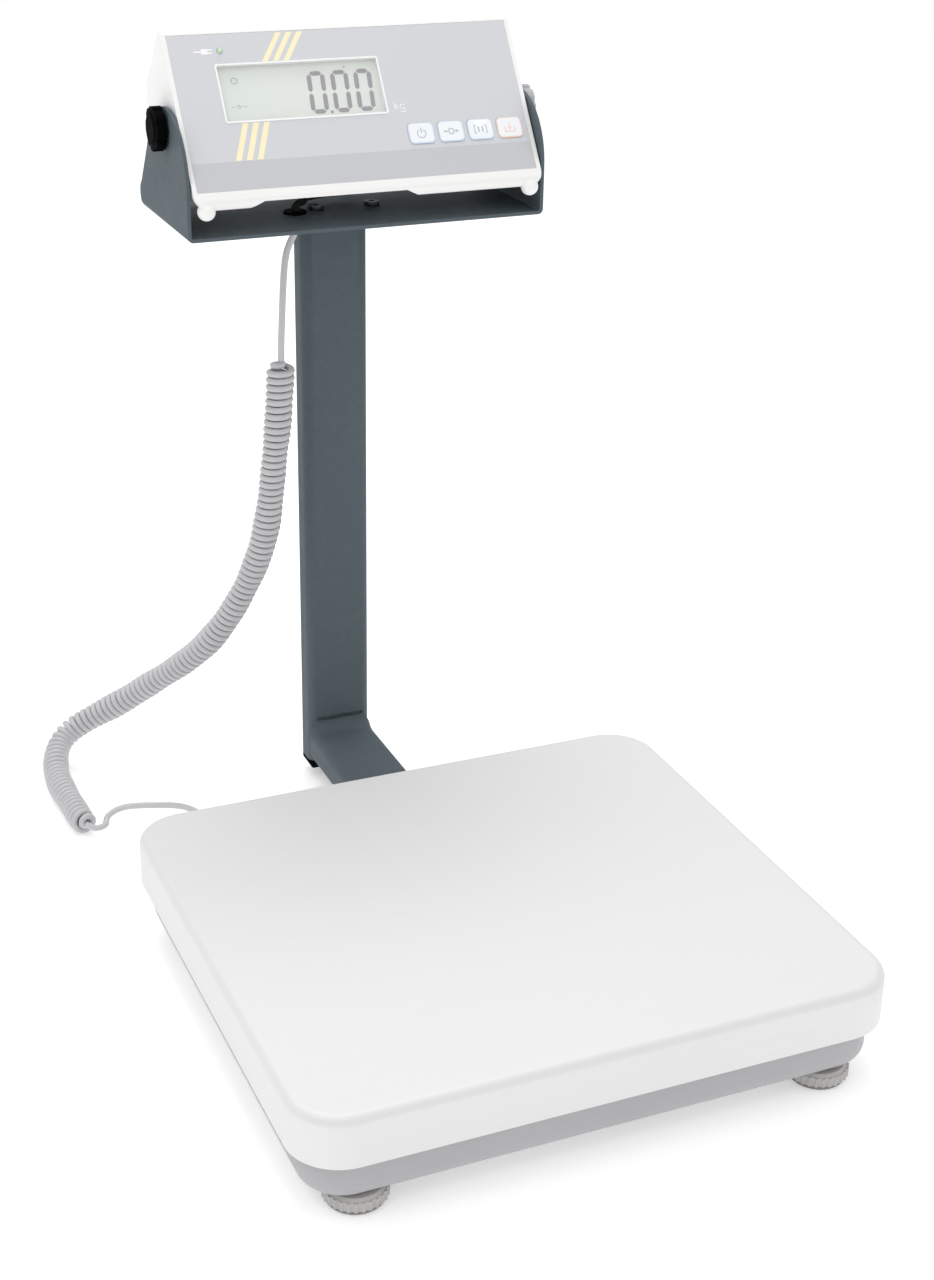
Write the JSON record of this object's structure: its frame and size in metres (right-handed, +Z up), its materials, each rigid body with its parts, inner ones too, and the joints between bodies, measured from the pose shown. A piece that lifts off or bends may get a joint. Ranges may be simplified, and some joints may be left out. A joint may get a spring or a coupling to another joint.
{
  "type": "platform shipping scale",
  "caption": "Low weighing platform with a lift-off steel pan, a rear stand, a spring cord and a tilting display with keys.",
  "frame": {"origin": "on the floor, under the middle of the weighing pan", "axes": "+Z up, +X to the right seen from the front, +Y to the rear, where the stand is; the display faces -Y"},
  "size_m": [0.3343, 0.5032, 0.4759],
  "materials": {
    "pan_steel": "satin stainless",
    "pad_rubber": "matt",
    "zinc_steel": "zinc plated",
    "cell_alloy": "anodised",
    "base_casting": "fine powder coat",
    "stand_coat": "satin powder coat",
    "black_plastic": "fine moulded",
    "grey_knob": "fine moulded",
    "brass_insert": "machined",
    "foot_plastic": "ribbed",
    "sole_rubber": "matt",
    "cord_sheath": "soft sheath",
    "black_sheath": "soft sheath",
    "housing_white": "fine moulded",
    "plate_film": "satin film",
    "frame_white": "printed line",
    "window_clear": "clear",
    "lcd_green": "display glass",
    "led_green": "clear",
    "board_green": "solder mask",
    "key_white": "satin",
    "battery_wrap": "shrink film"
  },
  "bodies": {
    "base": {"base_frame": "base_casting", "load_cell": "cell_alloy", "lower_spacer": "zinc_steel", "lower_cell_bolts": "zinc_steel", "load_cell_lead": "cord_sheath", "base_cable_gland": "black_plastic", "foot_bushings": "brass_insert", "stand_arm": "stand_coat", "arm_nut_plate": "zinc_steel", "arm_bolts": "zinc_steel", "column": "stand_coat", "column_end_plug": "black_plastic", "weld_bead": "stand_coat", "column_top_plate": "stand_coat", "bracket": "stand_coat", "bracket_screws": "zinc_steel", "cable_grommet": "black_plastic", "coil_cord": "cord_sheath"},
    "carrier": {"load_spider": "zinc_steel", "upper_spacer": "cell_alloy", "upper_cell_bolts": "zinc_steel", "pan_pads": "pad_rubber", "overload_stops": "zinc_steel"},
    "pan": {"weighing_pan": "pan_steel"},
    "display": {"housing_front": "housing_white", "housing_rear": "housing_white", "housing_screws": "zinc_steel", "face_plate": "plate_film", "lcd_frame": "frame_white", "lcd_window": "window_clear", "lcd_module": "lcd_green", "status_led": "led_green", "main_board": "board_green", "key_switches": "black_plastic", "battery_pack": "battery_wrap", "power_socket": "black_plastic", "pivot_inserts": "brass_insert", "friction_washers": "black_plastic", "display_gland": "black_plastic", "display_lead": "black_sheath"},
    "battery_door": {"battery_cover": "housing_white"},
    "key_on_off": {"key_on_off": "key_white"},
    "key_zero": {"key_zero": "key_white"},
    "key_hold": {"key_hold": "key_white"},
    "key_tare": {"key_tare": "key_white"},
    "knob_left": {"knob_left": "black_plastic"},
    "knob_right": {"knob_right": "grey_knob"},
    "sole_fl": {"foot_sole_fl": "sole_rubber"},
    "foot_fl": {"foot_disc_fl": "foot_plastic"},
    "sole_fr": {"foot_sole_fr": "sole_rubber"},
    "foot_fr": {"foot_disc_fr": "foot_plastic"},
    "sole_rl": {"foot_sole_rl": "sole_rubber"},
    "foot_rl": {"foot_disc_rl": "foot_plastic"},
    "sole_rr": {"foot_sole_rr": "sole_rubber"},
    "foot_rr": {"foot_disc_rr": "foot_plastic"}
  },
  "joints": [
    {"name": "platform_deflection", "type": "slide", "parent": "base", "child": "carrier", "axis": [0, 0, 1], "range_m": [-0.0005, 0], "stiffness_N_per_m": 200000, "deforming": ["load_cell"]},
    {"name": "pan_lift", "type": "slide", "parent": "carrier", "child": "pan", "axis": [0, 0, 1], "range_m": [0, 0.06]},
    {"name": "display_tilt", "type": "hinge", "parent": "base", "child": "display", "pos_m": [0.01, 0.248, 0.427], "axis": [1, 0, 0], "range_deg": [-20, 12], "deforming": ["display_lead"]},
    {"name": "knob_left_turn", "type": "hinge", "parent": "display", "child": "knob_left", "pos_m": [0.01, 0.248, 0.427], "axis": [-1, 0, 0], "range_deg": [0, 180]},
    {"name": "knob_right_turn", "type": "hinge", "parent": "display", "child": "knob_right", "pos_m": [0.01, 0.248, 0.427], "axis": [1, 0, 0], "range_deg": [0, 180]},
    {"name": "battery_cover_pull", "type": "slide", "parent": "display", "child": "battery_door", "axis": [0, 1, 0], "range_m": [0, 0.03]},
    {"name": "key_on_off_press", "type": "slide", "parent": "display", "child": "key_on_off", "axis": [0, -0.8241, 0.5664], "range_m": [-0.0004, 0], "stiffness_N_per_m": 200},
    {"name": "key_zero_press", "type": "slide", "parent": "display", "child": "key_zero", "axis": [0, -0.8241, 0.5664], "range_m": [-0.0004, 0], "stiffness_N_per_m": 200},
    {"name": "key_hold_press", "type": "slide", "parent": "display", "child": "key_hold", "axis": [0, -0.8241, 0.5664], "range_m": [-0.0004, 0], "stiffness_N_per_m": 200},
    {"name": "key_tare_press", "type": "slide", "parent": "display", "child": "key_tare", "axis": [0, -0.8241, 0.5664], "range_m": [-0.0004, 0], "stiffness_N_per_m": 200},
    {"name": "foot_fl_height", "type": "slide", "parent": "base", "child": "sole_fl", "axis": [0, 0, -1], "range_m": [-0.0006, 0.008]},
    {"name": "foot_fl_turn", "type": "hinge", "parent": "sole_fl", "child": "foot_fl", "pos_m": [-0.1267, -0.1273, 0], "axis": [0, 0, -1], "range_deg": [-150, 1925]},
    {"name": "foot_fr_height", "type": "slide", "parent": "base", "child": "sole_fr", "axis": [0, 0, -1], "range_m": [-0.0006, 0.008]},
    {"name": "foot_fr_turn", "type": "hinge", "parent": "sole_fr", "child": "foot_fr", "pos_m": [0.1267, -0.1273, 0], "axis": [0, 0, -1], "range_deg": [-150, 1925]},
    {"name": "foot_rl_height", "type": "slide", "parent": "base", "child": "sole_rl", "axis": [0, 0, -1], "range_m": [-0.0006, 0.008]},
    {"name": "foot_rl_turn", "type": "hinge", "parent": "sole_rl", "child": "foot_rl", "pos_m": [-0.1267, 0.1273, 0], "axis": [0, 0, -1], "range_deg": [-150, 1925]},
    {"name": "foot_rr_height", "type": "slide", "parent": "base", "child": "sole_rr", "axis": [0, 0, -1], "range_m": [-0.0006, 0.008]},
    {"name": "foot_rr_turn", "type": "hinge", "parent": "sole_rr", "child": "foot_rr", "pos_m": [0.1267, 0.1273, 0], "axis": [0, 0, -1], "range_deg": [-150, 1925]}
  ],
  "couplings": [
    {"joint": "foot_fl_turn", "follows": "foot_fl_height", "rad_per_m": 4188.8},
    {"joint": "foot_fr_turn", "follows": "foot_fr_height", "rad_per_m": 4188.8},
    {"joint": "foot_rl_turn", "follows": "foot_rl_height", "rad_per_m": 4188.8},
    {"joint": "foot_rr_turn", "follows": "foot_rr_height", "rad_per_m": 4188.8}
  ]
}
